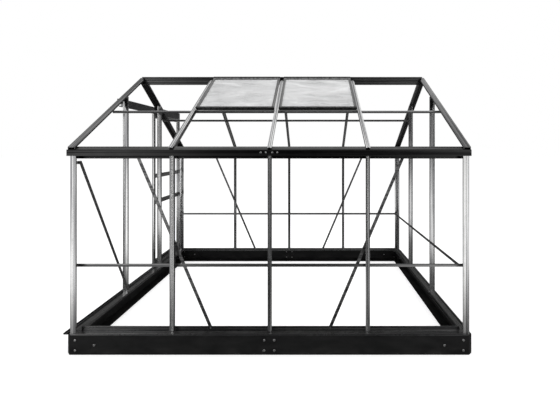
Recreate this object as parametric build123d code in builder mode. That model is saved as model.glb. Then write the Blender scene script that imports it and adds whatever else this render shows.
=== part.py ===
from build123d import *
import os
from math import atan2, cos, sin, degrees

# Walk-in greenhouse frame: aluminium glazing bars on a black steel base,
# sliding door in the left gable, two hinged roof vents in the front slope.
# Millimetres. Origin on the ground at the middle of the footprint.
# +X along the ridge to the far gable, +Y to the back wall, +Z up.

os.makedirs("parts", exist_ok=True)

# ---------------------------------------------------------------- driving sizes
WALL_X = 1257.0          # glazing plane of each gable
WALL_Y = 937.0           # glazing plane of each side wall
BAY = 626.0              # spacing of the side wall and roof bars
DOOR_HALF = 319.0        # half spacing of the gable posts
BASE_X = 1286.0          # outer face of the base, gable ends
BASE_Y = 966.0           # outer face of the base, sides
ORIGIN_SHIFT = 9.0       # the door sill stands out on the left
BASE_H = 120.0
BASE_W = 76.0            # flange width of the base channel
BASE_T = 2.0
CHAMFER = 26.0           # corner chamfer of the base
ANCHOR_X, ANCHOR_Y, ANCHOR_R = 800.0, 926.0, 5.5   # ground anchor holes in the lower flange
SILL_TOP = 123.0         # top of the sill plate
EAVES_Z = 1254.0         # underside of the gutter, top of the wall bars
ROOF_LOW_Z = 1318.0      # roof glazing plane above the side wall plane
ROOF_HIGH_Z = 1925.0     # roof glazing plane at the middle of the ridge
RIDGE_HALF = 1251.0
GUTTER_HALF = 1271.0
BAR_IN = 34.0            # depth of a bar inside its glazing plane
STRIP = 3.0              # thickness of braces and girts
GIRT_W = 20.0
GIRT_Z = 544.0
BRACE_HI_X, BRACE_LO_X = 868.0, 388.0
PURLIN_Y = 482.0
POST_OUT = 15.0          # corner post face outside the glazing plane
POST_LEG = 42.0
DOOR_Y0, DOOR_Y1 = 288.0, 948.0
DOOR_Z0, DOOR_Z1 = 134.0, 1636.0
DOOR_IN, DOOR_OUT = 1284.0, 1302.0
DOOR_STILE = 38.0
TRACK_Y0, TRACK_Y1 = -326.0, 955.0
WHEEL_R, WHEEL_GROOVE = 11.5, 9.3
WHEEL_Z = 1654.35
WHEEL_Y = (378.0, 858.0)
VENT_S0 = 507.0          # lower edge of a vent, measured up the slope
VENT_L = (-609.0, -17.0)
VENT_R = (17.0, 609.0)
HINGE_Y, HINGE_Z = -25.0, 1934.0

SLOPE = atan2(ROOF_HIGH_Z - ROOF_LOW_Z, WALL_Y)
C, S = cos(SLOPE), sin(SLOPE)
TAN = S / C

# ---------------------------------------------------------------- sections
# Glazing bar, (u across, v outward from the glazing plane): stepped cap,
# stem, and a bolt channel with its slot on the inner face.
BAR = [(-13.5, 0), (-13.5, 3), (-5, 3), (-4.8, 5), (-3.8, 6.5), (-2, 7), (2, 7), (3.8, 6.5), (4.8, 5), (5, 3), (13.5, 3), (13.5, 0),
       (1.5, 0), (1.5, -20), (9, -20), (9, -34), (3.6, -34), (3.6, -32), (7, -32),
       (7, -22), (-7, -22), (-7, -32), (-3.6, -32), (-3.6, -34), (-9, -34), (-9, -20),
       (-1.5, -20), (-1.5, 0)]
CAP = [(-13.5, 0), (-13.5, 3), (-5, 3), (-4.8, 5), (-3.8, 6.5), (-2, 7), (2, 7), (3.8, 6.5), (4.8, 5), (5, 3), (13.5, 3), (13.5, 0)]
# Corner post, (a, b) measured inward from its outer corner.
POST = [(10, 0), (24, 0), (24, 1.2), (27, 1.2), (27, 0), (42, 0), (42, 12), (39, 12),
        (39, 3), (12, 3), (3, 12), (3, 46), (12, 46), (12, 49), (0, 49), (0, 27),
        (1.2, 27), (1.2, 24), (0, 24), (0, 10)]
POST_BOX = [(31, 31), (49, 31), (49, 49), (31, 49)]
POST_WEB = [(5.5, 8.5), (8.5, 5.5), (34, 31), (31, 34)]
# Gable rafter, (a inward from its outer face, b above the roof plane).
RAFTER = [(0, 7), (45, 7), (45, -3), (42, -3), (42, 4), (3, 4), (3, -38), (0, -38)]
# Gutter, (v outward from the wall plane, z).
GUTTER = [(40, 1254), (40, 1294), (37, 1294), (37, 1257), (8, 1257), (8, 1300.9),
          (24, 1290.5), (24, 1294), (-6, 1294 + 30 * TAN), (-6, 1290.5 + 30 * TAN),
          (5, 1290.5 + 19 * TAN), (5, 1257), (-34, 1257),
          (-34, ROOF_LOW_Z + 34 * TAN - 34 / C), (-37, ROOF_LOW_Z + 37 * TAN - 34 / C),
          (-37, 1235), (-34, 1235), (-34, 1254)]
# Sill, (v outward, z).
SILL = [(27, 120), (27, 128), (17, 128), (17, 123), (-45, 123), (-45, 120)]
UPSTAND = [(-34, 123), (-34, 150), (-37, 150), (-37, 123)]
# Door end sill with the outer guide track, (outward, z) measured from the middle.
DOOR_SILL = [(1212, 120), (1308, 120), (1308, 130), (1305, 130), (1305, 123), (1284, 123),
             (1284, 129), (1280, 129), (1280, 123), (1223, 123), (1223, 131), (1220, 131),
             (1220, 123), (1212, 123)]
GUIDE_LIP = [(1282, 120), (1308, 120), (1308, 130), (1305, 130), (1305, 123), (1284, 123),
             (1284, 129), (1282, 129)]
# Ridge, (y, z): inverted channel, drip cap, hinge beads on both edges.
RIDGE_HALF_SECTION = [(0, 1936), (18, 1936), (18, 1935), (23, 1935), (23, 1933), (18, 1933),
                      (18, 1932), (14, 1932), (14, 1872), (5, 1872), (5, 1875), (11, 1875),
                      (11, 1932), (0, 1932)]
# Upper door track, (outward, z): back plate, hood, and a bead for the wheels.
TRACK = [(1277, 1638), (1277, 1702), (1308, 1702), (1308, 1672), (1305.5, 1672),
         (1305.5, 1699.5), (1279.5, 1699.5), (1279.5, 1641), (1291, 1641), (1291, 1645),
         (1294, 1645), (1294, 1638)]
# Door stile, (outward, y from the outer edge inward), open glazing groove inside.
STILE = [(1284, 0), (1302, 0), (1302, 38), (1296, 38), (1296, 26), (1290, 26), (1290, 38),
         (1284, 38)]


def front(points):
    return [(u, -v) for u, v in points]


def back(points):
    return [(u, v) for u, v in points]


def left(points):
    return [(-v, u) for u, v in points]


def right(points):
    return [(v, u) for u, v in points]


def corner(points, sx, sy):
    return [(-sx * a, -sy * b) for a, b in points]


def slope_point(s, b, x=0.0):
    """Point in the front roof slope: s up the slope from the wall plane, b above it."""
    return (x, -WALL_Y + s * C - b * S, ROOF_LOW_Z + s * S + b * C)


# Sketch plane across the front slope: local x is +X, local y is down through the roof.
ACROSS = Plane(origin=slope_point(0, 0), x_dir=(1, 0, 0), z_dir=(0, C, S))
# Sketch plane looking along +X with local x up the slope and local y out of the roof.
ALONG = Plane(origin=slope_point(0, 0), x_dir=(0, C, S), z_dir=(1, 0, 0))
# Vertical section plane with local x = +Y and local y = +Z, looking along +X.
SECTION_X = Plane(origin=(0, 0, 0), x_dir=(0, 1, 0), z_dir=(1, 0, 0))
# Vertical section plane with local x = -X and local y = +Z, extruding along +Y.
SECTION_Y = Plane(origin=(0, 0, 0), x_dir=(-1, 0, 0), z_dir=(0, 1, 0))


def export(piece, name):
    """Write one piece, moved so that the origin is the middle of the whole footprint."""
    shifted = piece.part.moved(Location((ORIGIN_SHIFT, 0, 0)))
    shifted.label = name
    export_step(shifted, "parts/" + name + ".step")


# ---------------------------------------------------------------- steel base
RAIL_PLAN = [(0, -BASE_Y), (BASE_X - CHAMFER, -BASE_Y),
             (BASE_X - CHAMFER / 2, -BASE_Y + CHAMFER / 2),
             (BASE_X - BASE_W, -BASE_Y + BASE_W), (0, -BASE_Y + BASE_W)]
END_PLAN = [(BASE_X, -BASE_Y + CHAMFER), (BASE_X, BASE_Y - CHAMFER),
            (BASE_X - CHAMFER / 2, BASE_Y - CHAMFER / 2),
            (BASE_X - BASE_W, BASE_Y - BASE_W), (BASE_X - BASE_W, -BASE_Y + BASE_W),
            (BASE_X - CHAMFER / 2, -BASE_Y + CHAMFER / 2)]
BOLT_Z = (28.0, 92.0)
SPLICE_X = 31.5
SIDE_BOLTS_X = [(SPLICE_X, BOLT_Z[0]), (SPLICE_X, BOLT_Z[1]), (BASE_X - 62, BOLT_Z[0]),
                (BASE_X - 62, BOLT_Z[1]), (BASE_X - 182, 60.0)]
END_BOLTS_Y = [(BASE_Y - 62, BOLT_Z[0]), (BASE_Y - 62, BOLT_Z[1]), (BASE_Y - 182, 60.0)]

with BuildPart() as base_rail_front_right:
    with BuildSketch(Plane.XY):
        Polygon(*RAIL_PLAN, align=None)
        with Locations((ANCHOR_X, -ANCHOR_Y)):
            Circle(ANCHOR_R, mode=Mode.SUBTRACT)
    extrude(amount=BASE_T)
    with BuildSketch(Plane.XY.offset(BASE_H - BASE_T)):
        Polygon(*RAIL_PLAN, align=None)
    extrude(amount=BASE_T)
    with BuildSketch(Plane.XY):
        Polygon((0, -BASE_Y), (BASE_X - CHAMFER, -BASE_Y), (BASE_X - CHAMFER, -BASE_Y + BASE_T),
                (0, -BASE_Y + BASE_T), align=None)
    extrude(amount=BASE_H)
    with BuildSketch(Plane(origin=(0, -BASE_Y, 0), x_dir=(1, 0, 0), z_dir=(0, -1, 0))):
        with Locations(*SIDE_BOLTS_X):
            Circle(4.3)
    extrude(amount=-5, mode=Mode.SUBTRACT)
export(base_rail_front_right, "base_rail_front_right")

with BuildPart() as base_rail_front_left:
    mirror(base_rail_front_right.part, about=Plane.YZ)
export(base_rail_front_left, "base_rail_front_left")

with BuildPart() as base_rail_back_right:
    mirror(base_rail_front_right.part, about=Plane.XZ)
export(base_rail_back_right, "base_rail_back_right")

with BuildPart() as base_rail_back_left:
    mirror(base_rail_back_right.part, about=Plane.YZ)
export(base_rail_back_left, "base_rail_back_left")

with BuildPart() as base_rail_far_end:
    with BuildSketch(Plane.XY):
        Polygon(*END_PLAN, align=None)
    extrude(amount=BASE_T)
    with BuildSketch(Plane.XY.offset(BASE_H - BASE_T)):
        Polygon(*END_PLAN, align=None)
    extrude(amount=BASE_T)
    with BuildSketch(Plane.XY):
        with Locations((BASE_X - BASE_T / 2, 0)):
            Rectangle(BASE_T, 2 * (BASE_Y - CHAMFER))
    extrude(amount=BASE_H)
    with BuildSketch(Plane(origin=(BASE_X, 0, 0), x_dir=(0, 1, 0), z_dir=(1, 0, 0))):
        with Locations(*END_BOLTS_Y, *[(-y, z) for y, z in END_BOLTS_Y]):
            Circle(4.3)
    extrude(amount=-5, mode=Mode.SUBTRACT)
export(base_rail_far_end, "base_rail_far_end")

with BuildPart() as base_rail_door_end:
    mirror(base_rail_far_end.part, about=Plane.YZ)
export(base_rail_door_end, "base_rail_door_end")

# One corner bracket: two arms inside the rails joined by the chamfered face.
with BuildPart() as corner_bracket:
    with BuildSketch(Plane.XY.offset(BASE_T + 0.2)):
        Polygon((1060, -964), (1260, -964), (1260, -966), (1286, -940), (1284, -940),
                (1284, -740), (1281, -740), (1281, -941), (1261, -961), (1060, -961), align=None)
    extrude(amount=BASE_H - 2 * BASE_T - 0.4)
    with BuildSketch(Plane(origin=(0, -BASE_Y, 0), x_dir=(1, 0, 0), z_dir=(0, -1, 0))):
        with Locations(*SIDE_BOLTS_X[2:]):
            Circle(4.3)
    extrude(amount=-6, mode=Mode.SUBTRACT)
    with BuildSketch(Plane(origin=(BASE_X, 0, 0), x_dir=(0, 1, 0), z_dir=(1, 0, 0))):
        with Locations(*[(-y, z) for y, z in END_BOLTS_Y]):
            Circle(4.3)
    extrude(amount=-6, mode=Mode.SUBTRACT)

with BuildPart() as base_corners:
    add(corner_bracket.part)
    mirror(corner_bracket.part, about=Plane.YZ)
    mirror(corner_bracket.part, about=Plane.XZ)
    with Locations(Location((0, 0, 0), (0, 0, 180))):
        add(corner_bracket.part)
export(base_corners, "base_corners")

with BuildPart() as base_splice_plates:
    with BuildSketch(Plane.XY.offset(BASE_T + 0.2)):
        with Locations((0, -BASE_Y + 3.5), (0, BASE_Y - 3.5)):
            Rectangle(104, 3)
    extrude(amount=BASE_H - 2 * BASE_T - 0.4)
    with BuildSketch(Plane(origin=(0, -BASE_Y - 10, 0), x_dir=(1, 0, 0), z_dir=(0, -1, 0))):
        with Locations(*[(x, z) for x in (-SPLICE_X, SPLICE_X) for z in BOLT_Z]):
            Circle(4.3)
    extrude(amount=-2 * BASE_Y - 20, mode=Mode.SUBTRACT)
export(base_splice_plates, "base_splice_plates")

# Base bolt: domed head outside, shank through rail and plate, hexagon nut inside.
with BuildPart() as base_bolt:
    with BuildSketch(Plane.XY):
        Circle(7.5)
    extrude(amount=4)
    fillet(base_bolt.faces().sort_by(Axis.Z)[-1].edges(), radius=2.6)
    with BuildSketch(Plane.XY):
        Circle(4)
    extrude(amount=-17)
    with BuildSketch(Plane.XY.offset(-5)):
        RegularPolygon(7.5, 6)
    extrude(amount=-7)

FRONT_LOCS = [Plane(origin=(sx * x, -BASE_Y, z), x_dir=(1, 0, 0), z_dir=(0, -1, 0)).location
              for x, z in SIDE_BOLTS_X for sx in (-1, 1)]
BACK_LOCS = [Plane(origin=(sx * x, BASE_Y, z), x_dir=(1, 0, 0), z_dir=(0, 1, 0)).location
             for x, z in SIDE_BOLTS_X for sx in (-1, 1)]
FAR_LOCS = [Plane(origin=(BASE_X, sy * y, z), x_dir=(0, 1, 0), z_dir=(1, 0, 0)).location
            for y, z in END_BOLTS_Y for sy in (-1, 1)]
NEAR_LOCS = [Plane(origin=(-BASE_X, sy * y, z), x_dir=(0, 1, 0), z_dir=(-1, 0, 0)).location
             for y, z in END_BOLTS_Y for sy in (-1, 1)]
with BuildPart() as base_bolts:
    with Locations(*FRONT_LOCS, *BACK_LOCS, *FAR_LOCS, *NEAR_LOCS):
        add(base_bolt.part)
export(base_bolts, "base_bolts")

# ---------------------------------------------------------------- sills
BAR_XS = (-BAY, 0.0, BAY)
SILL_BOLT_Z = 138.0
BRACE_LO_Z, BRACE_HI_Z = 140.0, 1265.0

with BuildPart() as sill_front:
    with BuildSketch(Plane(origin=(-1281, -WALL_Y, 0), x_dir=(0, 1, 0), z_dir=(1, 0, 0))):
        Polygon(*[(-v, z) for v, z in SILL], align=None)
    extrude(amount=2562)
    with BuildSketch(Plane(origin=(-1223, -WALL_Y, 0), x_dir=(0, 1, 0), z_dir=(1, 0, 0))):
        Polygon(*[(-v, z) for v, z in UPSTAND], align=None)
    extrude(amount=2446)
    with BuildSketch(Plane.XY.offset(110)):
        Polygon((1282, -966), (1282, -938), (1254, -966), align=None)
        Polygon((-1282, -966), (-1282, -938), (-1254, -966), align=None)
    extrude(amount=30, mode=Mode.SUBTRACT)
    with BuildSketch(Plane(origin=(0, -WALL_Y + 30, 0), x_dir=(-1, 0, 0), z_dir=(0, 1, 0))):
        with Locations(*[(x, SILL_BOLT_Z) for x in BAR_XS],
                       (BRACE_LO_X, BRACE_LO_Z), (-BRACE_LO_X, BRACE_LO_Z)):
            Circle(3.3)
    extrude(amount=10, mode=Mode.SUBTRACT)
export(sill_front, "sill_front")

with BuildPart() as sill_back:
    mirror(sill_front.part, about=Plane.XZ)
export(sill_back, "sill_back")

with BuildPart() as sill_far_end:
    with BuildSketch(Plane(origin=(WALL_X, -891.8, 0), x_dir=(-1, 0, 0), z_dir=(0, 1, 0))):
        Polygon(*[(-v, z) for v, z in SILL], align=None)
        Polygon(*[(-v, z) for v, z in UPSTAND], align=None)
    extrude(amount=1783.6)
    with BuildSketch(Plane(origin=(WALL_X - 30, 0, 0), x_dir=(0, 1, 0), z_dir=(-1, 0, 0))):
        with Locations((DOOR_HALF, -SILL_BOLT_Z), (-DOOR_HALF, -SILL_BOLT_Z)):
            Circle(3.3)
    extrude(amount=10, mode=Mode.SUBTRACT)
export(sill_far_end, "sill_far_end")

with BuildPart() as sill_door_end:
    with BuildSketch(Plane(origin=(0, -891.8, 0), x_dir=(-1, 0, 0), z_dir=(0, 1, 0))):
        Polygon(*DOOR_SILL, align=None)
    extrude(amount=1783.6)
    with BuildSketch(Plane(origin=(0, -952, 0), x_dir=(-1, 0, 0), z_dir=(0, 1, 0))):
        Polygon(*GUIDE_LIP, align=None)
    extrude(amount=1904)
export(sill_door_end, "sill_door_end")

# ---------------------------------------------------------------- corner posts
with BuildPart() as corner_post_front_far:
    with BuildSketch(Plane(origin=(WALL_X + POST_OUT, -WALL_Y - POST_OUT, SILL_TOP),
                           x_dir=(1, 0, 0), z_dir=(0, 0, 1))):
        Polygon(*corner(POST, 1, -1), align=None)
    extrude(amount=EAVES_Z - SILL_TOP)
export(corner_post_front_far, "corner_post_front_far")

with BuildPart() as corner_post_front_door:
    mirror(corner_post_front_far.part, about=Plane.YZ)
    # short lug inside the corner that takes the end of the gable brace
    with BuildSketch(Plane(origin=(-WALL_X - POST_OUT, -WALL_Y - POST_OUT, 1200),
                           x_dir=(1, 0, 0), z_dir=(0, 0, 1))):
        Polygon(*corner(POST_BOX, -1, -1), align=None)
        Polygon(*corner(POST_WEB, -1, -1), align=None)
    extrude(amount=20)
export(corner_post_front_door, "corner_post_front_door")

with BuildPart() as corner_post_back_far:
    mirror(corner_post_front_far.part, about=Plane.XZ)
export(corner_post_back_far, "corner_post_back_far")

with BuildPart() as corner_post_back_door:
    mirror(corner_post_back_far.part, about=Plane.YZ)
export(corner_post_back_door, "corner_post_back_door")

# ---------------------------------------------------------------- side wall bars
with BuildPart() as side_bar_front_left:
    with BuildSketch(Plane(origin=(-BAY, -WALL_Y, SILL_TOP), x_dir=(1, 0, 0), z_dir=(0, 0, 1))):
        Polygon(*front(BAR), align=None)
    extrude(amount=EAVES_Z - SILL_TOP)
export(side_bar_front_left, "side_bar_front_left")

with BuildPart() as side_bar_front_centre:
    with BuildSketch(Plane(origin=(0, -WALL_Y, SILL_TOP), x_dir=(1, 0, 0), z_dir=(0, 0, 1))):
        Polygon(*front(BAR), align=None)
    extrude(amount=EAVES_Z - SILL_TOP)
export(side_bar_front_centre, "side_bar_front_centre")

with BuildPart() as side_bar_front_right:
    with BuildSketch(Plane(origin=(BAY, -WALL_Y, SILL_TOP), x_dir=(1, 0, 0), z_dir=(0, 0, 1))):
        Polygon(*front(BAR), align=None)
    extrude(amount=EAVES_Z - SILL_TOP)
export(side_bar_front_right, "side_bar_front_right")

with BuildPart() as side_bars_back:
    for bar_x in BAR_XS:
        with BuildSketch(Plane(origin=(bar_x, WALL_Y, SILL_TOP), x_dir=(1, 0, 0), z_dir=(0, 0, 1))):
            Polygon(*back(BAR), align=None)
        extrude(amount=EAVES_Z - SILL_TOP)
export(side_bars_back, "side_bars_back")

# ---------------------------------------------------------------- gutters and ridge
with BuildPart() as eaves_gutter_front:
    with BuildSketch(Plane(origin=(-GUTTER_HALF, -WALL_Y, 0), x_dir=(0, 1, 0), z_dir=(1, 0, 0))):
        Polygon(*[(-v, z) for v, z in GUTTER], align=None)
    extrude(amount=2 * GUTTER_HALF)
    with BuildSketch(Plane(origin=(0, -WALL_Y + 30, 0), x_dir=(-1, 0, 0), z_dir=(0, 1, 0))):
        with Locations(*[(x, 1244) for x in BAR_XS],
                       (BRACE_HI_X, BRACE_HI_Z), (-BRACE_HI_X, BRACE_HI_Z)):
            Circle(3.3)
    extrude(amount=10, mode=Mode.SUBTRACT)
export(eaves_gutter_front, "eaves_gutter_front")

with BuildPart() as eaves_gutter_back:
    mirror(eaves_gutter_front.part, about=Plane.XZ)
export(eaves_gutter_back, "eaves_gutter_back")

with BuildPart() as ridge_bar:
    with BuildSketch(Plane(origin=(-RIDGE_HALF, 0, 0), x_dir=(0, 1, 0), z_dir=(1, 0, 0))):
        Polygon(*RIDGE_HALF_SECTION, align=None)
        Polygon(*[(-y, z) for y, z in RIDGE_HALF_SECTION], align=None)
        with Locations((HINGE_Y, HINGE_Z), (-HINGE_Y, HINGE_Z)):
            Circle(3)
    extrude(amount=2 * RIDGE_HALF)
export(ridge_bar, "ridge_bar")

# ---------------------------------------------------------------- gable rafters
with BuildPart() as gable_rafter_far_front:
    with BuildSketch(Plane(origin=slope_point(-40, 0, WALL_X + 17), x_dir=(1, 0, 0), z_dir=(0, C, S))):
        Polygon(*[(-a, -b) for a, b in RAFTER], align=None)
    extrude(amount=1200)
    split(bisect_by=Plane(origin=(0, -0.1, 0), z_dir=(0, 1, 0)), keep=Keep.BOTTOM)
    split(bisect_by=Plane(origin=(0, -WALL_Y - 24, 0), z_dir=(0, 1, 0)), keep=Keep.TOP)
    with BuildSketch(Plane.XY.offset(1800)):
        Polygon((1200, -14), (RIDGE_HALF + 0.2, -14), (RIDGE_HALF + 0.2, 14), (1200, 14), align=None)
    extrude(amount=200, mode=Mode.SUBTRACT)
export(gable_rafter_far_front, "gable_rafter_far_front")

with BuildPart() as gable_rafter_far_back:
    mirror(gable_rafter_far_front.part, about=Plane.XZ)
export(gable_rafter_far_back, "gable_rafter_far_back")

with BuildPart() as gable_rafter_door_front:
    mirror(gable_rafter_far_front.part, about=Plane.YZ)
export(gable_rafter_door_front, "gable_rafter_door_front")

with BuildPart() as gable_rafter_door_back:
    mirror(gable_rafter_door_front.part, about=Plane.XZ)
export(gable_rafter_door_back, "gable_rafter_door_back")

# ---------------------------------------------------------------- roof bars
with BuildPart() as roof_bar_front_centre:
    with BuildSketch(ACROSS.offset(-40)):
        Polygon(*front(BAR), align=None)
    extrude(amount=1200)
    split(bisect_by=Plane(origin=(0, -14, 0), z_dir=(0, 1, 0)), keep=Keep.BOTTOM)
    split(bisect_by=Plane(origin=(0, -WALL_Y + 6, 0), z_dir=(0, 1, 0)), keep=Keep.TOP)
    with BuildSketch(ACROSS.offset(-28)):
        Polygon(*front(CAP), align=None)
    extrude(amount=60)
export(roof_bar_front_centre, "roof_bar_front_centre")

with BuildPart() as roof_bar_front_left:
    with Locations((-BAY, 0, 0)):
        add(roof_bar_front_centre.part)
export(roof_bar_front_left, "roof_bar_front_left")

with BuildPart() as roof_bar_front_right:
    with Locations((BAY, 0, 0)):
        add(roof_bar_front_centre.part)
export(roof_bar_front_right, "roof_bar_front_right")

with BuildPart() as roof_bars_back:
    mirror(roof_bar_front_centre.part, about=Plane.XZ)
    mirror(roof_bar_front_left.part, about=Plane.XZ)
    mirror(roof_bar_front_right.part, about=Plane.XZ)
export(roof_bars_back, "roof_bars_back")

# ---------------------------------------------------------------- gable posts
UNDER_RAFTER = Plane(origin=slope_point(0, -3), x_dir=(1, 0, 0), z_dir=(0, -S, C))

with BuildPart() as gable_post_one:
    with BuildSketch(Plane(origin=(WALL_X, -DOOR_HALF, SILL_TOP), x_dir=(1, 0, 0), z_dir=(0, 0, 1))):
        Polygon(*right(BAR), align=None)
    extrude(amount=1700)
    split(bisect_by=UNDER_RAFTER, keep=Keep.BOTTOM)

with BuildPart() as gable_posts_far:
    add(gable_post_one.part)
    mirror(gable_post_one.part, about=Plane.XZ)
export(gable_posts_far, "gable_posts_far")

with BuildPart() as door_post_front:
    mirror(gable_post_one.part, about=Plane.YZ)
export(door_post_front, "door_post_front")

with BuildPart() as door_post_back:
    mirror(door_post_front.part, about=Plane.XZ)
export(door_post_back, "door_post_back")

# ---------------------------------------------------------------- purlins
PURLIN_S = (WALL_Y - PURLIN_Y) / C
PURLIN_SECTION = [(PURLIN_S, -34), (PURLIN_S + 15, -34), (PURLIN_S + 15, -36),
                  (PURLIN_S + 2, -36), (PURLIN_S + 2, -49), (PURLIN_S, -49)]
with BuildPart() as purlin_one:
    with BuildSketch(Plane(origin=slope_point(0, 0, -1270.8), x_dir=(0, C, S), z_dir=(1, 0, 0))):
        Polygon(*PURLIN_SECTION, align=None)
    extrude(amount=2541.6)
    with BuildSketch(Plane(origin=slope_point(PURLIN_S + 9, -30), x_dir=(1, 0, 0), z_dir=(0, -S, C))):
        with Locations(*[(x, 0) for x in BAR_XS]):
            Circle(3.3)
    extrude(amount=-10, mode=Mode.SUBTRACT)

with BuildPart() as purlins:
    add(purlin_one.part)
    mirror(purlin_one.part, about=Plane.XZ)
export(purlins, "purlins")

# ---------------------------------------------------------------- girts
with BuildPart() as girt_front:
    with BuildSketch(Plane(origin=(0, -WALL_Y + BAR_IN, GIRT_Z), x_dir=(-1, 0, 0), z_dir=(0, 1, 0))):
        Rectangle(2524, GIRT_W)
        with Locations(*[(x, 0) for x in BAR_XS]):
            Circle(3.3, mode=Mode.SUBTRACT)
    extrude(amount=STRIP)
export(girt_front, "girt_front")

with BuildPart() as girt_back:
    mirror(girt_front.part, about=Plane.XZ)
export(girt_back, "girt_back")

with BuildPart() as girt_far_end:
    with BuildSketch(Plane(origin=(WALL_X - BAR_IN, 0, GIRT_Z), x_dir=(0, 1, 0), z_dir=(-1, 0, 0))):
        Rectangle(2 * (WALL_Y - BAR_IN - STRIP), GIRT_W)
        with Locations((DOOR_HALF, 0), (-DOOR_HALF, 0)):
            Circle(3.3, mode=Mode.SUBTRACT)
    extrude(amount=STRIP)
export(girt_far_end, "girt_far_end")

# ---------------------------------------------------------------- braces
BRACE_DX = BRACE_HI_X - BRACE_LO_X
BRACE_DZ = BRACE_HI_Z - BRACE_LO_Z
BRACE_LEN = (BRACE_DX ** 2 + BRACE_DZ ** 2) ** 0.5
BRACE_ANG = degrees(atan2(BRACE_DZ, BRACE_DX))
BRACE_MX, BRACE_MZ = (BRACE_HI_X + BRACE_LO_X) / 2, (BRACE_HI_Z + BRACE_LO_Z) / 2
BRACE_BAR_Z = BRACE_LO_Z + (BAY - BRACE_LO_X) / BRACE_DX * BRACE_DZ

with BuildPart() as brace_right_front:
    with BuildSketch(Plane(origin=(0, -WALL_Y + BAR_IN + STRIP + 0.1, 0), x_dir=(-1, 0, 0),
                           z_dir=(0, 1, 0))):
        with Locations(Location((-BRACE_MX, BRACE_MZ), 180 - BRACE_ANG)):
            SlotCenterToCenter(BRACE_LEN, 20)
        with Locations((-BRACE_HI_X, BRACE_HI_Z), (-BRACE_LO_X, BRACE_LO_Z), (-BAY, BRACE_BAR_Z)):
            Circle(3.3, mode=Mode.SUBTRACT)
    extrude(amount=STRIP)

with BuildPart() as wall_braces:
    add(brace_right_front.part)
    mirror(brace_right_front.part, about=Plane.YZ)
    mirror(brace_right_front.part, about=Plane.XZ)
    with Locations(Location((0, 0, 0), (0, 0, 180))):
        add(brace_right_front.part)
export(wall_braces, "wall_braces")

GB_HI = (914.0, 1210.0)
GB_LO = (DOOR_HALF, 145.0)
GB_LEN = ((GB_HI[0] - GB_LO[0]) ** 2 + (GB_HI[1] - GB_LO[1]) ** 2) ** 0.5
GB_ANG = degrees(atan2(GB_HI[1] - GB_LO[1], GB_HI[0] - GB_LO[0]))
with BuildPart() as brace_gable_back:
    with BuildSketch(Plane(origin=(-WALL_X + BAR_IN, 0, 0), x_dir=(0, 1, 0), z_dir=(1, 0, 0))):
        with Locations(Location(((GB_HI[0] + GB_LO[0]) / 2, (GB_HI[1] + GB_LO[1]) / 2), GB_ANG)):
            SlotCenterToCenter(GB_LEN, 24)
        with Locations(GB_LO):
            Circle(3.3, mode=Mode.SUBTRACT)
    extrude(amount=STRIP)

with BuildPart() as brace_door_end:
    mirror(brace_gable_back.part, about=Plane.XZ)
export(brace_door_end, "brace_door_end")

# ---------------------------------------------------------------- vent sills
# Fixed cross bars between the roof bars, under the lower edge of each vent.
VENT_SILL_SECTION = [(VENT_S0 - 4, -1), (VENT_S0 + 22, -1), (VENT_S0 + 22, -14),
                     (VENT_S0 + 19, -14), (VENT_S0 + 19, -4), (VENT_S0 - 1, -4),
                     (VENT_S0 - 1, -10), (VENT_S0 - 4, -10)]
with BuildPart() as vent_sills:
    for x_low in (-BAY + 1.5, 1.5):
        with BuildSketch(Plane(origin=slope_point(0, 0, x_low), x_dir=(0, C, S), z_dir=(1, 0, 0))):
            Polygon(*VENT_SILL_SECTION, align=None)
        extrude(amount=BAY - 3)
export(vent_sills, "vent_sills")

# ---------------------------------------------------------------- frame bolts
# Square head captive in the bar's channel, shank through the slot, nut inside.
with BuildPart() as t_bolt:
    with BuildSketch(Plane.XY.offset(-6)):
        Rectangle(11, 11)
    extrude(amount=4)
    with BuildSketch(Plane.XY.offset(-3)):
        Circle(3)
    extrude(amount=13)
    with BuildSketch(Plane.XY.offset(STRIP)):
        RegularPolygon(5.8, 6)
    extrude(amount=5)

with BuildPart() as t_bolt_long:
    with BuildSketch(Plane.XY.offset(-6)):
        Rectangle(11, 11)
    extrude(amount=4)
    with BuildSketch(Plane.XY):
        Circle(6)
    extrude(amount=STRIP)
    with BuildSketch(Plane.XY.offset(-3)):
        Circle(3)
    extrude(amount=17)
    with BuildSketch(Plane.XY.offset(2 * STRIP + 0.2)):
        RegularPolygon(5.8, 6)
    extrude(amount=5)

with BuildPart() as plain_bolt:
    with BuildSketch(Plane.XY.offset(-4)):
        RegularPolygon(5.8, 6)
    extrude(amount=4)
    with BuildSketch(Plane.XY.offset(-1)):
        Circle(3)
    extrude(amount=14)
    with BuildSketch(Plane.XY.offset(2 * STRIP + 0.2)):
        RegularPolygon(5.8, 6)
    extrude(amount=5)

FACE_F, FACE_B, FACE_X = -WALL_Y + BAR_IN, WALL_Y - BAR_IN, WALL_X - BAR_IN
T_LOCS = []
for bar_x in BAR_XS:
    for bolt_z in (SILL_BOLT_Z, GIRT_Z, 1244.0):
        T_LOCS.append(Plane(origin=(bar_x, FACE_F, bolt_z), x_dir=(1, 0, 0), z_dir=(0, 1, 0)).location)
        T_LOCS.append(Plane(origin=(bar_x, FACE_B, bolt_z), x_dir=(1, 0, 0), z_dir=(0, -1, 0)).location)
    for side in (-1, 1):
        bx, by, bz = slope_point(PURLIN_S + 9, -34, bar_x)
        T_LOCS.append(Plane(origin=(bx, -side * by, bz), x_dir=(1, 0, 0),
                            z_dir=(0, -side * S, -C)).location)
for post_y in (-DOOR_HALF, DOOR_HALF):
    for bolt_z in (SILL_BOLT_Z, GIRT_Z):
        T_LOCS.append(Plane(origin=(FACE_X, post_y, bolt_z), x_dir=(0, 1, 0), z_dir=(-1, 0, 0)).location)
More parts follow.
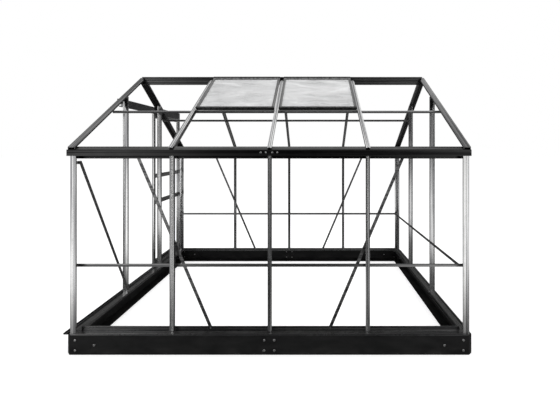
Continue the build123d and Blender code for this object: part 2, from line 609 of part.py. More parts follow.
T_LOCS.append(Plane(origin=(-FACE_X, -DOOR_HALF, GB_LO[1]), x_dir=(0, 1, 0), z_dir=(1, 0, 0)).location)
LONG_LOCS, PLAIN_LOCS = [], []
for sx in (-1, 1):
    for fy, nz in ((FACE_F, 1), (FACE_B, -1)):
        LONG_LOCS.append(Plane(origin=(sx * BAY, fy, BRACE_BAR_Z), x_dir=(1, 0, 0),
                               z_dir=(0, nz, 0)).location)
        for px, pz in ((BRACE_HI_X, BRACE_HI_Z), (BRACE_LO_X, BRACE_LO_Z)):
            PLAIN_LOCS.append(Plane(origin=(sx * px, fy, pz), x_dir=(1, 0, 0),
                                    z_dir=(0, nz, 0)).location)
with BuildPart() as frame_bolts:
    with Locations(*T_LOCS):
        add(t_bolt.part)
    with Locations(*LONG_LOCS):
        add(t_bolt_long.part)
    with Locations(*PLAIN_LOCS):
        add(plain_bolt.part)
export(frame_bolts, "frame_bolts")

# ---------------------------------------------------------------- door track
with BuildPart() as door_track:
    with BuildSketch(Plane(origin=(0, TRACK_Y0, 0), x_dir=(-1, 0, 0), z_dir=(0, 1, 0))):
        Polygon(*TRACK, align=None)
    extrude(amount=TRACK_Y1 - TRACK_Y0)
    # end stops for the wheels
    with BuildSketch(Plane.XY.offset(1640)):
        with Locations((-1288, 876.5), (-1288, -258.5)):
            Rectangle(16, 9)
    extrude(amount=22)
export(door_track, "door_track")

# Spacers from the door posts to the track, and the stay at the track's back end.
with BuildPart() as track_brackets:
    with BuildSketch(Plane(origin=(-WALL_X - 7, 0, 0), x_dir=(0, -1, 0), z_dir=(-1, 0, 0))):
        with Locations((DOOR_HALF, 1650), (-DOOR_HALF, 1650)):
            Rectangle(12, 20)
    extrude(amount=13)
    with BuildSketch(Plane(origin=(-WALL_X - 17, 0, 0), x_dir=(0, -1, 0), z_dir=(-1, 0, 0))):
        with Locations((-935, 1478)):
            Rectangle(20, 436)
    extrude(amount=3)
    with BuildSketch(Plane(origin=(-GUTTER_HALF, 0, 0), x_dir=(0, -1, 0), z_dir=(-1, 0, 0))):
        with Locations((-935, 1263)):
            Rectangle(20, 6)
    extrude(amount=3)
export(track_brackets, "track_brackets")

# ---------------------------------------------------------------- sliding door
with BuildPart() as door_stile_front:
    with BuildSketch(Plane(origin=(0, DOOR_Y0, DOOR_Z0), x_dir=(1, 0, 0), z_dir=(0, 0, 1))):
        Polygon(*[(-q, y) for q, y in STILE], align=None)
    extrude(amount=DOOR_Z1 - DOOR_Z0)
export(door_stile_front, "door_stile_front")

with BuildPart() as door_stile_back:
    with BuildSketch(Plane(origin=(0, DOOR_Y1, DOOR_Z0), x_dir=(1, 0, 0), z_dir=(0, 0, 1))):
        Polygon(*[(-q, -y) for q, y in STILE], align=None)
    extrude(amount=DOOR_Z1 - DOOR_Z0)
export(door_stile_back, "door_stile_back")

DOOR_MID = (DOOR_Y0 + DOOR_Y1) / 2
RAIL_LEN = DOOR_Y1 - DOOR_Y0 - 2 * DOOR_STILE
with BuildPart() as door_top_rail:
    with BuildSketch(Plane(origin=(0, DOOR_Y0 + DOOR_STILE, 0), x_dir=(-1, 0, 0), z_dir=(0, 1, 0))):
        Polygon((DOOR_IN, 1598), (DOOR_IN, DOOR_Z1), (DOOR_OUT, DOOR_Z1), (DOOR_OUT, 1598),
                (1296, 1598), (1296, 1610), (1290, 1610), (1290, 1598), align=None)
    extrude(amount=RAIL_LEN)
export(door_top_rail, "door_top_rail")

with BuildPart() as door_cross_rails:
    for rail_z in (767.0, 1025.0):
        with BuildSketch(Plane(origin=(0, DOOR_Y0 + DOOR_STILE, rail_z), x_dir=(-1, 0, 0),
                               z_dir=(0, 1, 0))):
            Polygon((1285, -20), (1285, 20), (1290, 20), (1290, 10), (1296, 10), (1296, 20),
                    (1301, 20), (1301, -20), (1296, -20), (1296, -10), (1290, -10),
                    (1290, -20), align=None)
        extrude(amount=RAIL_LEN)
export(door_cross_rails, "door_cross_rails")

with BuildPart() as door_bottom_rail:
    with BuildSketch(Plane(origin=(0, DOOR_Y0 + DOOR_STILE, 0), x_dir=(-1, 0, 0), z_dir=(0, 1, 0))):
        Polygon((DOOR_IN, DOOR_Z0), (DOOR_IN, 194), (1290, 194), (1290, 182), (1296, 182),
                (1296, 194), (DOOR_OUT, 194), (DOOR_OUT, DOOR_Z0), align=None)
    extrude(amount=RAIL_LEN)
    with BuildSketch(Plane.XY.offset(124.5)):
        with Locations((-1294.5, DOOR_Y0 + 60), (-1294.5, DOOR_Y1 - 60)):
            Rectangle(15, 34)
    extrude(amount=9.5)
export(door_bottom_rail, "door_bottom_rail")

# Hanger plates on the top rail with the axle pins of the wheels.
with BuildPart() as door_hangers:
    with BuildSketch(Plane(origin=(-1297, 0, 0), x_dir=(0, -1, 0), z_dir=(-1, 0, 0))):
        for wheel_y in WHEEL_Y:
            Polygon((-wheel_y - 24, DOOR_Z1), (-wheel_y + 24, DOOR_Z1), (-wheel_y + 9, 1664),
                    (-wheel_y - 9, 1664), align=None)
    extrude(amount=3)
    with BuildSketch(Plane(origin=(-1287.5, 0, 0), x_dir=(0, -1, 0), z_dir=(-1, 0, 0))):
        with Locations(*[(-wheel_y, WHEEL_Z) for wheel_y in WHEEL_Y]):
            Circle(3)
    extrude(amount=14)
export(door_hangers, "door_hangers")

with BuildPart() as door_wheel_front:
    with BuildSketch(Plane(origin=(0, WHEEL_Y[0], WHEEL_Z), x_dir=(-1, 0, 0), z_dir=(0, -1, 0))):
        Polygon((1289.3, 3.05), (1295.7, 3.05), (1295.7, WHEEL_R), (1294.4, WHEEL_R),
                (1294.2, WHEEL_GROOVE), (1290.8, WHEEL_GROOVE), (1290.6, WHEEL_R),
                (1289.3, WHEEL_R), align=None)
    revolve(axis=Axis((0, WHEEL_Y[0], WHEEL_Z), (1, 0, 0)))
export(door_wheel_front, "door_wheel_front")

with BuildPart() as door_wheel_back:
    with Locations((0, WHEEL_Y[1] - WHEEL_Y[0], 0)):
        add(door_wheel_front.part)
export(door_wheel_back, "door_wheel_back")

# ---------------------------------------------------------------- roof vents
HINGE_S = (HINGE_Y + WALL_Y) * C + (HINGE_Z - ROOF_LOW_Z) * S
HINGE_B = -(HINGE_Y + WALL_Y) * S + (HINGE_Z - ROOF_LOW_Z) * C
VENT_TOP = HINGE_S - 9.0
SIDE_BAR = [(0, 1), (20, 1), (20, 8), (12, 8), (12, 12.2), (20, 12.2), (20, 17), (0, 17)]
LOW_BAR = [(VENT_S0, 1), (VENT_S0 + 22, 1), (VENT_S0 + 22, 8), (VENT_S0 + 14, 8),
           (VENT_S0 + 14, 12.2), (VENT_S0 + 22, 12.2), (VENT_S0 + 22, 17),
           (VENT_S0 + 4, 20), (VENT_S0, 20)]
TOP_BAR = [(VENT_TOP, 3), (VENT_TOP - 22, 3), (VENT_TOP - 22, 8), (VENT_TOP - 14, 8),
           (VENT_TOP - 14, 12.2), (VENT_TOP - 22, 12.2), (VENT_TOP - 22, 17), (VENT_TOP, 20),
           (HINGE_S - 3.8, HINGE_B + 2.4), (HINGE_S - 4.4, HINGE_B - 1.5), (VENT_TOP, 13)]

STAY_S = VENT_S0 + 60
STAY_LEN = 240.0
PIVOT_X = VENT_L[0] + 160

with BuildPart() as vent_frame_left:
    with BuildSketch(Plane(origin=slope_point(0, 0, VENT_L[0]), x_dir=(0, C, S), z_dir=(1, 0, 0))):
        Polygon(*TOP_BAR, align=None)
        with Locations((HINGE_S, HINGE_B)):
            Circle(5.9)
            Circle(3.4, mode=Mode.SUBTRACT)
        Polygon((HINGE_S, HINGE_B), (HINGE_S + 2.0, HINGE_B - 12), (HINGE_S + 14, HINGE_B - 12),
                (HINGE_S + 14, HINGE_B + 8), (HINGE_S + 2.0, HINGE_B + 8), align=None,
                mode=Mode.SUBTRACT)
    extrude(amount=VENT_L[1] - VENT_L[0])
    with BuildSketch(Plane(origin=slope_point(0, 0, VENT_L[0]), x_dir=(0, C, S), z_dir=(1, 0, 0))):
        Polygon(*LOW_BAR, align=None)
    extrude(amount=VENT_L[1] - VENT_L[0])
    with BuildSketch(ACROSS.offset(VENT_S0 + 22)):
        Polygon(*[(VENT_L[0] + u, -b) for u, b in SIDE_BAR], align=None)
        Polygon(*[(VENT_L[1] - u, -b) for u, b in SIDE_BAR], align=None)
    extrude(amount=VENT_TOP - VENT_S0 - 44)
    # lug on the lower bar with the pivot pin of the stay
    with BuildSketch(Plane(origin=slope_point(0, 0, PIVOT_X - 7), x_dir=(0, C, S), z_dir=(1, 0, 0))):
        Polygon((VENT_S0 + 22, 2), (VENT_S0 + 22, 7), (STAY_S - 8, 7), (STAY_S - 8, -11),
                (STAY_S - 11, -11), (STAY_S - 11, 4), (VENT_S0 + 26, 4), (VENT_S0 + 26, 2),
                align=None)
    extrude(amount=14)
    with BuildSketch(Plane(origin=slope_point(STAY_S - 9, -4, PIVOT_X), x_dir=(1, 0, 0),
                           z_dir=(0, C, S))):
        Circle(2.5)
    extrude(amount=9)
    with BuildSketch(Plane(origin=slope_point(STAY_S - 1, -4, PIVOT_X), x_dir=(1, 0, 0),
                           z_dir=(0, C, S))):
        Circle(4.5)
    extrude(amount=2)
export(vent_frame_left, "vent_frame_left")

with BuildPart() as vent_frame_right:
    mirror(vent_frame_left.part, about=Plane.YZ)
export(vent_frame_right, "vent_frame_right")

with BuildPart() as vent_pane_left:
    with BuildSketch(ACROSS.offset(VENT_S0 + 15)):
        Polygon((VENT_L[0] + 13, -8), (VENT_L[1] - 13, -8), (VENT_L[1] - 13, -12),
                (VENT_L[0] + 13, -12), align=None)
    extrude(amount=VENT_TOP - VENT_S0 - 30)
export(vent_pane_left, "vent_pane_left")

with BuildPart() as vent_pane_right:
    mirror(vent_pane_left.part, about=Plane.YZ)
export(vent_pane_right, "vent_pane_right")

# Casement stay: perforated arm folded along the lower bar, turning on the lug's pin.
with BuildPart() as vent_stay_left:
    with BuildSketch(Plane(origin=slope_point(STAY_S - 4.5, -4, PIVOT_X), x_dir=(1, 0, 0),
                           z_dir=(0, C, S))):
        with Locations((STAY_LEN / 2, 0)):
            SlotCenterToCenter(STAY_LEN, 14)
        Circle(2.55, mode=Mode.SUBTRACT)
        with Locations(*[(60 + 30 * i, 0) for i in range(7)]):
            Circle(3.2, mode=Mode.SUBTRACT)
    extrude(amount=3)
export(vent_stay_left, "vent_stay_left")

with BuildPart() as vent_stay_right:
    mirror(vent_stay_left.part, about=Plane.YZ)
export(vent_stay_right, "vent_stay_right")
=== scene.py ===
import bpy, bmesh, math
from mathutils import Matrix, Vector


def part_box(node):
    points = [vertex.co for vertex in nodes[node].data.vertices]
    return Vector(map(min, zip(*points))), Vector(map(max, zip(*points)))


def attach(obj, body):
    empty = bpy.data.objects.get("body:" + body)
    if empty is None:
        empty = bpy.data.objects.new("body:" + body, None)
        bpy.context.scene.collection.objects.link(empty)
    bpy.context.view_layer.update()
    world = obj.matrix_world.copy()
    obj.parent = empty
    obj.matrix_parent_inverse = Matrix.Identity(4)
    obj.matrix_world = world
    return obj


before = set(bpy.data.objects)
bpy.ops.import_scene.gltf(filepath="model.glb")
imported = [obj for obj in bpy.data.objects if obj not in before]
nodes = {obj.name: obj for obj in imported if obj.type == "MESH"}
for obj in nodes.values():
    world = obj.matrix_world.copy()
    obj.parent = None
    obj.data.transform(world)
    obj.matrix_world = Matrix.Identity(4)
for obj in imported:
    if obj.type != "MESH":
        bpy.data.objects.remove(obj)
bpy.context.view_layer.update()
scene = bpy.context.scene
SHIFT = 0.009                                   # the row's origin against the bar grid


# ------------------------------------------------------------------ material helpers
def tree(name):
    m = bpy.data.materials.new(name)
    m.use_nodes = True
    nt = m.node_tree
    nt.nodes.clear()
    out = nt.nodes.new("ShaderNodeOutputMaterial")
    bsdf = nt.nodes.new("ShaderNodeBsdfPrincipled")
    nt.links.new(bsdf.outputs[0], out.inputs[0])
    return m, nt, bsdf, out


def coords(nt, rotation=(0, 0, 0), scale=(1, 1, 1)):
    tc = nt.nodes.new("ShaderNodeTexCoord")
    turn = nt.nodes.new("ShaderNodeMapping")
    turn.inputs["Rotation"].default_value = rotation
    nt.links.new(tc.outputs["Object"], turn.inputs[0])
    mp = nt.nodes.new("ShaderNodeMapping")
    mp.inputs["Scale"].default_value = scale
    nt.links.new(turn.outputs[0], mp.inputs[0])
    return mp.outputs[0]


def noise(nt, vec, scale, detail=3.0, rough=0.55, distortion=0.0):
    n = nt.nodes.new("ShaderNodeTexNoise")
    n.inputs["Scale"].default_value = scale
    n.inputs["Detail"].default_value = detail
    n.inputs["Roughness"].default_value = rough
    n.inputs["Distortion"].default_value = distortion
    nt.links.new(vec, n.inputs["Vector"])
    return n.outputs[0]


def ramp(nt, fac, stops):
    r = nt.nodes.new("ShaderNodeValToRGB")
    el = r.color_ramp.elements
    while len(el) < len(stops):
        el.new(0.5)
    for e, (pos, val) in zip(el, stops):
        e.position = pos
        e.color = (*val, 1) if isinstance(val, tuple) else (val, val, val, 1)
    nt.links.new(fac, r.inputs[0])
    return r.outputs[0]


def mix(nt, fac, a, b, kind="MIX"):
    m = nt.nodes.new("ShaderNodeMix")
    m.data_type = "RGBA"
    m.blend_type = kind
    for sock, val in ((m.inputs[0], fac), (m.inputs[6], a), (m.inputs[7], b)):
        if isinstance(val, (int, float)):
            sock.default_value = val
        elif isinstance(val, tuple):
            sock.default_value = (*val, 1)
        else:
            nt.links.new(val, sock)
    return m.outputs[2]


def math_node(nt, op, a, b):
    m = nt.nodes.new("ShaderNodeMath")
    m.operation = op
    for sock, val in ((m.inputs[0], a), (m.inputs[1], b)):
        if isinstance(val, (int, float)):
            sock.default_value = val
        else:
            nt.links.new(val, sock)
    return m.outputs[0]


def bump(nt, bsdf, height, distance, strength):
    b = nt.nodes.new("ShaderNodeBump")
    b.inputs["Strength"].default_value = strength
    b.inputs["Distance"].default_value = distance
    nt.links.new(height, b.inputs["Height"])
    nt.links.new(b.outputs[0], bsdf.inputs["Normal"])


PITCH = math.atan2(1925 - 1318, 937)
ALONG = {                                       # grain direction: rotation, then stretch
    "x": ((0, 0, 0), (1, 0, 0)), "y": ((0, 0, 0), (0, 1, 0)), "z": ((0, 0, 0), (0, 0, 1)),
    "front_slope": ((-PITCH, 0, 0), (0, 1, 0)), "back_slope": ((PITCH, 0, 0), (0, 1, 0)),
}


def aluminium(name, along, tone=0.72, rough=0.17):
    """Mill aluminium: die lines along the extrusion, handling smudges, dull oxide blooms. A low tone gives a
    darker copy, used below as painted shade.
    """
    m, nt, bsdf, out = tree(name)
    turn, axis = ALONG[along]
    stretch = tuple(2.5 if a else 520.0 for a in axis)
    lines = noise(nt, coords(nt, turn, stretch), 1.0, 4.0, 0.7)
    broad = noise(nt, coords(nt, turn, tuple(0.8 if a else 95.0 for a in axis)), 1.0, 2.0, 0.5)
    smudge = noise(nt, coords(nt), 9.0, 5.0, 0.62, 0.6)
    fine = noise(nt, coords(nt), 900.0, 2.0, 0.5)
    tint = ramp(nt, lines, [(0.30, tone * 0.74), (0.52, tone), (0.72, min(1.0, tone * 1.35))])
    tint = mix(nt, 0.80, tint, ramp(nt, broad, [(0.40, (tone * 0.22, tone * 0.22, tone * 0.23)),
                                                (0.50, (tone * 0.80, tone * 0.80, tone * 0.81)),
                                                (0.60, (tone * 1.30, tone * 1.30, tone * 1.29))]))
    bloom = ramp(nt, smudge, [(0.50, 0.0), (0.72, 0.32)])
    tint = mix(nt, bloom, tint, (tone * 0.62, tone * 0.63, tone * 0.64))
    nt.links.new(tint, bsdf.inputs["Base Color"])
    bsdf.inputs["Metallic"].default_value = 1.0
    r = ramp(nt, lines, [(0.25, rough - 0.05), (0.75, rough + 0.08)])
    r = mix(nt, bloom, r, (rough + 0.24,) * 3)
    nt.links.new(r, bsdf.inputs["Roughness"])
    h = math_node(nt, "ADD", lines, math_node(nt, "MULTIPLY", fine, 0.25))
    bump(nt, bsdf, h, 0.00012, 0.35)
    return m


def powder_black(name, tone=0.006, rough=0.46, dust=0.03):
    """Black powder coat on folded steel: orange peel, rubbed patches, dust along the ground."""
    m, nt, bsdf, out = tree(name)
    peel = noise(nt, coords(nt), 420.0, 2.0, 0.5)
    patch = noise(nt, coords(nt, scale=(2.2, 2.2, 7.0)), 2.4, 6.0, 0.65, 0.4)
    scratch = noise(nt, coords(nt, rotation=(0.3, 0.5, 0.2), scale=(12, 12, 260)), 1.2, 3.0, 0.6)
    sep = nt.nodes.new("ShaderNodeSeparateXYZ")
    tc = nt.nodes.new("ShaderNodeTexCoord")
    nt.links.new(tc.outputs["Object"], sep.inputs[0])
    low = nt.nodes.new("ShaderNodeMapRange")
    low.inputs[1].default_value = 0.0
    low.inputs[2].default_value = 0.05
    low.inputs[3].default_value = 1.0
    low.inputs[4].default_value = 0.0
    nt.links.new(sep.outputs[2], low.inputs[0])
    ground = math_node(nt, "MULTIPLY", low.outputs[0], ramp(nt, patch, [(0.45, 0.0), (0.70, 1.0)]))
    colour = ramp(nt, patch, [(0.35, (tone, tone, tone * 1.05)), (0.70, (tone * 2.1,) * 3)])
    colour = mix(nt, ramp(nt, scratch, [(0.72, 0.0), (0.80, 0.35)]), colour, (0.05, 0.05, 0.052))
    colour = mix(nt, math_node(nt, "MULTIPLY", ground, 0.5), colour, (dust, dust * 0.94, dust * 0.86))
    nt.links.new(colour, bsdf.inputs["Base Color"])
    nt.links.new(ramp(nt, patch, [(0.3, rough - 0.08), (0.75, rough + 0.14)]), bsdf.inputs["Roughness"])
    bsdf.inputs["Specular IOR Level"].default_value = 0.22
    bump(nt, bsdf, peel, 0.00025, 0.30)
    return m


def steel(name, tone, rough, metallic=1.0):
    """Zinc-plated fastener steel with spangle and dull spots."""
    m, nt, bsdf, out = tree(name)
    spangle = nt.nodes.new("ShaderNodeTexVoronoi")
    spangle.inputs["Scale"].default_value = 380.0
    nt.links.new(coords(nt), spangle.inputs["Vector"])
    spots = noise(nt, coords(nt), 130.0, 4.0, 0.6)
    colour = ramp(nt, spangle.outputs["Distance"], [(0.0, tone * 1.15), (0.8, tone * 0.75)])
    colour = mix(nt, ramp(nt, spots, [(0.5, 0.0), (0.75, 0.6)]), colour, (tone * 0.45,) * 3)
    nt.links.new(colour, bsdf.inputs["Base Color"])
    bsdf.inputs["Metallic"].default_value = metallic
    nt.links.new(ramp(nt, spots, [(0.3, rough - 0.1), (0.8, rough + 0.2)]), bsdf.inputs["Roughness"])
    bump(nt, bsdf, spots, 0.0001, 0.3)
    return m


def nylon(name):
    m, nt, bsdf, out = tree(name)
    grain = noise(nt, coords(nt), 700.0, 3.0, 0.6)
    rub = noise(nt, coords(nt), 90.0, 4.0, 0.6)
    nt.links.new(ramp(nt, rub, [(0.35, 0.025), (0.75, 0.07)]), bsdf.inputs["Base Color"])
    nt.links.new(ramp(nt, rub, [(0.3, 0.42), (0.8, 0.66)]), bsdf.inputs["Roughness"])
    bump(nt, bsdf, grain, 0.00008, 0.35)
    return m


def clouded_pane(name, seed):
    """Twin-wall polycarbonate with a milky, streaked skin."""
    m, nt, bsdf, out = tree(name)
    tc = nt.nodes.new("ShaderNodeTexCoord")
    mp = nt.nodes.new("ShaderNodeMapping")
    mp.inputs["Location"].default_value = (seed, seed * 0.7, 0.0)
    mp.inputs["Rotation"].default_value = (0.0, 0.0, 0.35)
    mp.inputs["Scale"].default_value = (2.2, 7.0, 1.0)
    nt.links.new(tc.outputs["Object"], mp.inputs[0])
    cloud = noise(nt, mp.outputs[0], 1.3, 6.0, 0.62, 1.1)
    streak = noise(nt, coords(nt, scale=(3.0, 60.0, 1.0)), 1.6, 4.0, 0.7, 0.4)
    wall = nt.nodes.new("ShaderNodeTexWave")
    wall.bands_direction = "X"
    wall.inputs["Scale"].default_value = 26.0
    nt.links.new(tc.outputs["Object"], wall.inputs["Vector"])
    colour = ramp(nt, cloud, [(0.34, (0.54, 0.545, 0.55)), (0.52, (0.74, 0.745, 0.75)),
                              (0.70, (0.96, 0.965, 0.97))])
    colour = mix(nt, 0.20, colour, ramp(nt, streak, [(0.35, 0.40), (0.65, 0.85)]))
    nt.links.new(colour, bsdf.inputs["Base Color"])
    nt.links.new(ramp(nt, cloud, [(0.3, 0.22), (0.75, 0.46)]), bsdf.inputs["Roughness"])
    nt.links.new(ramp(nt, cloud, [(0.3, 0.74), (0.7, 0.93)]), bsdf.inputs["Alpha"])
    bsdf.inputs["IOR"].default_value = 1.58
    bump(nt, bsdf, wall.outputs[1], 0.0002, 0.15)
    return m


MAT = {
    "alu_x": aluminium("alu_x", "x"), "alu_y": aluminium("alu_y", "y"), "alu_z": aluminium("alu_z", "z"),
    "alu_fs": aluminium("alu_front_slope", "front_slope"), "alu_bs": aluminium("alu_back_slope", "back_slope"),
    # painted shade: girts, braces, purlins, stays (strip) and the ridge are the same mill aluminium, made
    # darker (tone 0.26, 0.14) to paint the shade and dark reflections on them
    "strip": aluminium("alu_strip_painted_shade", "x", 0.26, 0.34), "ridge": aluminium("alu_ridge_painted_shade", "x", 0.14, 0.34),
    "base": powder_black("base_powder_coat"), "track": powder_black("track_powder_coat", 0.02, 0.32, 0.03),
    # painted shade: the gutters (tone 0.05, near black) and front rafters (0.17) are darker copies of the mill
    # aluminium that paint their shade and dark reflections
    "gutter": aluminium("alu_gutter_painted_shade", "x", 0.05, 0.30), "rafter_f": aluminium("alu_rafter_front_painted_shade", "front_slope", 0.17, 0.28),
    # painted shade: the sills are a darker copy (tone 0.30) of the mill aluminium
    "sill_x": aluminium("alu_sill_x_painted_shade", "x", 0.30, 0.26), "sill_y": aluminium("alu_sill_y_painted_shade", "y", 0.30, 0.26),
    # painted shade: vent frames (tone 0.09) and front roof bars (0.40) are darker copies of the mill
    # aluminium; the back roof bars stay at 0.72
    "vent": aluminium("alu_vent_painted_shade", "front_slope", 0.09, 0.26), "roof_f": aluminium("alu_roof_front_painted_shade", "front_slope", 0.40, 0.22),
    # painted shade: the back rafters take their own darker copy (tone 0.20) of the mill aluminium, apart from
    # the front rafters' 0.17
    "rafter_b": aluminium("alu_rafter_back_painted_shade", "back_slope", 0.20, 0.34),
    # painted highlight: the base bolts are zinc steel given a brighter copy (0.62 against 0.55) to brighten
    # their glints
    "zinc": steel("zinc_steel", 0.55, 0.34), "bolt": steel("base_bolt_steel_painted_highlight", 0.62, 0.30),
    "nylon": nylon("nylon"), "pane_l": clouded_pane("pane_left_cloud", 0.3),
    "pane_r": clouded_pane("pane_right_cloud", 2.1), "knob": powder_black("knob_black", 0.02, 0.4, 0.03),
}


def material_for(name):
    if name == "base_bolts":
        return MAT["bolt"]
    if name.startswith("base_"):
        return MAT["base"]
    if name in ("frame_bolts", "door_hangers"):
        return MAT["zinc"]
    if name.startswith("door_wheel"):
        return MAT["nylon"]
    if name.startswith("vent_pane"):
        return MAT["pane_l" if name.endswith("left") else "pane_r"]
    if name in ("door_track",):
        return MAT["track"]
    if name == "ridge_bar":
        return MAT["ridge"]
    if name.startswith("eaves"):
        return MAT["gutter"]
    if name.startswith("gable_rafter"):
        return MAT["rafter_f" if name.endswith("_front") else "rafter_b"]
    if name.startswith(("girt", "wall_braces", "brace_door", "purlins", "vent_stay")):
        return MAT["strip"]
    if name.startswith("roof_bar_front"):
        return MAT["roof_f"]
    if name == "roof_bars_back" or name.startswith("gable_rafter"):
        return MAT["alu_bs"]
    if name.startswith("vent_frame"):
        return MAT["vent"]
    if name in ("sill_door_end", "sill_far_end"):
        return MAT["sill_y"]
    if name in ("door_top_rail", "door_cross_rails", "door_bottom_rail"):
        return MAT["alu_y"]
    if name.startswith("sill"):
        return MAT["sill_x"]
    if name == "vent_sills":
        return MAT["alu_x"]
    return MAT["alu_z"]


for name, obj in nodes.items():
    obj.data.materials.clear()
    obj.data.materials.append(material_for(name))
    if not name.startswith("vent_pane"):
        bev = obj.modifiers.new("edge", "BEVEL")
        bev.width = 0.0006 if not name.startswith("base_") else 0.0008
        bev.segments = 2
        bev.limit_method = "ANGLE"
        bev.angle_limit = math.radians(40)
        bev.harden_normals = False


# ------------------------------------------------------------------ small hardware
def lathe(name, profile, material, body, place, seg=28):
    """A turned piece: profile of (radius, height) about local Z."""
    bm = bmesh.new()
    rings = []
    for r, h in profile:
        if r < 1e-7:
            rings.append([bm.verts.new((0, 0, h))])
        else:
            rings.append([bm.verts.new((r * math.cos(2 * math.pi * i / seg),
                                        r * math.sin(2 * math.pi * i / seg), h)) for i in range(seg)])
    for a, b in zip(rings, rings[1:]):
        for i in range(seg):
            j = (i + 1) % seg
            if len(a) == 1:
                bm.faces.new((a[0], b[j], b[i]))
            elif len(b) == 1:
                bm.faces.new((a[i], a[j], b[0]))
            else:
                bm.faces.new((a[i], a[j], b[j], b[i]))
    bmesh.ops.recalc_face_normals(bm, faces=bm.faces)
    me = bpy.data.meshes.new(name)
    bm.transform(place)
    bm.to_mesh(me)
    bm.free()
    for p in me.polygons:
        p.use_smooth = True
    o = bpy.data.objects.new(name, me)
    scene.collection.objects.link(o)
    me.materials.append(material)
    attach(o, body)
    return o


KNOB = [(0.0, 0.0), (0.0085, 0.0), (0.0085, 0.0035), (0.0060, 0.0050), (0.0058, 0.0120),
        (0.0088, 0.0160), (0.0128, 0.0185), (0.0142, 0.0225), (0.0136, 0.0265), (0.0108, 0.0290),
        (0.0060, 0.0300), (0.0, 0.0302)]
lo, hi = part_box("door_stile_back")
inward = Matrix.Translation((hi[0] - 0.0002, hi[1] - 0.012, 0.775)) @ Matrix.Rotation(math.pi / 2, 4, "Y")
lathe("door_knob_inside", KNOB[:], MAT["knob"], "door",
      inward @ Matrix.Diagonal((1, 1, 0.5, 1)))

# button-head screws of the gutter's middle joint, on the front and back gutters
SCREW = [(0.0, 0.0028), (0.0016, 0.0028), (0.0019, 0.0014), (0.0024, 0.0014), (0.0027, 0.0028),
         (0.0042, 0.0024), (0.0056, 0.0014), (0.0060, 0.0), (0.0, 0.0)]
for gutter, sign in (("eaves_gutter_front", -1), ("eaves_gutter_back", 1)):
    lo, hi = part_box(gutter)
    face = lo[1] if sign < 0 else hi[1]
    for i, dx in enumerate((-0.052, -0.020, 0.020, 0.052)):
        spot = Matrix.Translation((SHIFT + dx, face, 1.276)) @ \
            Matrix.Rotation(-sign * math.pi / 2, 4, "X")
        lathe("%s_screw_%d" % (gutter, i), SCREW, MAT["zinc"], "frame", spot, 20)

# ------------------------------------------------------------------ floor, world, lights, camera
def at(deg):
    return (deg + 180.0) / 360.0


def panel_ring(nt, x, y):
    """Bright and dark panels round the studio, by direction; 0 degrees is along -Y."""
    azim = math_node(nt, "ARCTAN2", x, math_node(nt, "MULTIPLY", y, -1.0))
    turn = nt.nodes.new("ShaderNodeMapRange")
    nt.links.new(azim, turn.inputs[0])
    turn.inputs[1].default_value = -math.pi
    turn.inputs[2].default_value = math.pi
    return ramp(nt, turn.outputs[0], [
        (0.0, 0.08), (at(-135), 0.08), (at(-125), 0.95), (at(-86), 0.95), (at(-76), 0.04), (at(-60), 0.04),
        (at(-52), 1.0), (at(-29), 1.0), (at(-22), 0.04), (at(18), 0.02), (at(25), 0.85), (at(44), 0.85),
        (at(52), 0.04), (at(80), 0.05), (at(90), 0.85), (at(120), 0.85), (at(130), 0.08), (1.0, 0.08)])


bm = bmesh.new()
bmesh.ops.create_grid(bm, x_segments=1, y_segments=1, size=40)
me = bpy.data.meshes.new("floor")
bm.to_mesh(me)
bm.free()
floor = bpy.data.objects.new("floor", me)
floor.location = (0, 0, -0.0005)
scene.collection.objects.link(floor)
fm, nt, bsdf, out = tree("floor_pale")
bsdf.inputs["Roughness"].default_value = 0.8
nt.links.new(ramp(nt, noise(nt, coords(nt), 0.6, 2.0), [(0.3, 0.86), (0.7, 0.88)]), bsdf.inputs["Base Color"])
bsdf.inputs["Emission Color"].default_value = (1, 1, 1, 1)
bsdf.inputs["Emission Strength"].default_value = 0.60
dim = nt.nodes.new("ShaderNodeEmission")
tcf = nt.nodes.new("ShaderNodeTexCoord")
sepf = nt.nodes.new("ShaderNodeSeparateXYZ")
nt.links.new(tcf.outputs["Object"], sepf.inputs[0])
far = nt.nodes.new("ShaderNodeVectorMath")
far.operation = "LENGTH"
nt.links.new(tcf.outputs["Object"], far.inputs[0])
away = nt.nodes.new("ShaderNodeMapRange")
nt.links.new(far.outputs["Value"], away.inputs[0])
away.inputs[1].default_value = 1.6
away.inputs[2].default_value = 3.2
nt.links.new(mix(nt, away.outputs[0], (0.10, 0.10, 0.10), panel_ring(nt, sepf.outputs[0], sepf.outputs[1])),
             dim.inputs[0])
dim.inputs[1].default_value = 1.2
mixf = nt.nodes.new("ShaderNodeMixShader")
lpf = nt.nodes.new("ShaderNodeLightPath")
nt.links.new(lpf.outputs["Is Glossy Ray"], mixf.inputs[0])
nt.links.new(bsdf.outputs[0], mixf.inputs[1])
nt.links.new(dim.outputs[0], mixf.inputs[2])
nt.links.new(mixf.outputs[0], out.inputs[0])
me.materials.append(fm)

world = bpy.data.worlds.new("studio")
scene.world = world
world.use_nodes = True
nt = world.node_tree
nt.nodes.clear()
out = nt.nodes.new("ShaderNodeOutputWorld")
bg = nt.nodes.new("ShaderNodeBackground")
pale = nt.nodes.new("ShaderNodeBackground")
pale.inputs[0].default_value = (1, 1, 1, 1)
pale.inputs[1].default_value = 1.0
mixs = nt.nodes.new("ShaderNodeMixShader")
lp = nt.nodes.new("ShaderNodeLightPath")
tc = nt.nodes.new("ShaderNodeTexCoord")
sep = nt.nodes.new("ShaderNodeSeparateXYZ")
nt.links.new(tc.outputs["Generated"], sep.inputs[0])
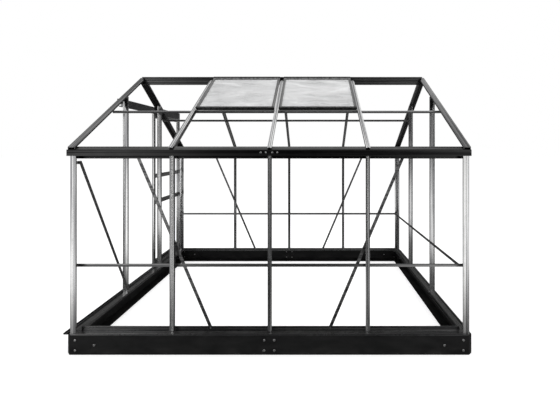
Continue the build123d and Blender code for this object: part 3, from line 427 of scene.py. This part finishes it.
# what the metal reflects: a dark studio with bright panels to either side and overhead
panels = panel_ring(nt, sep.outputs[0], sep.outputs[1])
lift = nt.nodes.new("ShaderNodeMapRange")
nt.links.new(sep.outputs[2], lift.inputs[0])
lift.inputs[1].default_value = -0.5
lift.inputs[2].default_value = 1.0
overhead = ramp(nt, lift.outputs[0], [(0.0, 0.0), (0.62, 0.0), (0.78, 0.12), (0.92, 0.40), (1.0, 0.6)])
gloss = nt.nodes.new("ShaderNodeBackground")
nt.links.new(mix(nt, 1.0, panels, overhead, "LIGHTEN"), gloss.inputs[0])
gloss.inputs[1].default_value = 1.25
bg.inputs[0].default_value = (1, 1, 1, 1)
bg.inputs[1].default_value = 0.55
inner = nt.nodes.new("ShaderNodeMixShader")
nt.links.new(lp.outputs["Is Glossy Ray"], inner.inputs[0])
nt.links.new(bg.outputs[0], inner.inputs[1])
nt.links.new(gloss.outputs[0], inner.inputs[2])
nt.links.new(lp.outputs["Is Camera Ray"], mixs.inputs[0])
nt.links.new(inner.outputs[0], mixs.inputs[1])
nt.links.new(pale.outputs[0], mixs.inputs[2])
nt.links.new(mixs.outputs[0], out.inputs[0])


def area(name, loc, aim, w, h, power):
    li = bpy.data.lights.new(name, "AREA")
    li.shape = "RECTANGLE"
    li.size, li.size_y, li.energy = w, h, power
    o = bpy.data.objects.new(name, li)
    o.location = loc
    o.rotation_euler = (Vector(aim) - Vector(loc)).to_track_quat("-Z", "Y").to_euler()
    scene.collection.objects.link(o)


area("top_box", (0, 0.2, 4.6), (0, 0, 1), 5.0, 3.6, 60)
area("left_strip", (-4.2, -1.6, 1.6), (0, 0, 1.0), 0.6, 3.4, 30)
area("right_strip", (4.2, -1.4, 1.7), (0, 0, 1.0), 0.6, 3.4, 22)

cam = bpy.data.cameras.new("camera")
cam.sensor_width = 36.0
cam.lens = 23.02
cam.shift_x = -0.0588
cam.shift_y = -0.0938
cam.clip_start = 0.05
cam.clip_end = 200
camera = bpy.data.objects.new("camera", cam)
camera.location = (0.27559 + SHIFT, -3.22316, 1.30714)
camera.rotation_euler = (math.pi / 2, 0, 0)
scene.collection.objects.link(camera)
scene.camera = camera
bpy.context.scene.camera = camera
scene.view_settings.view_transform = "Standard"
scene.view_settings.look = "None"
scene.view_settings.exposure = 0.0
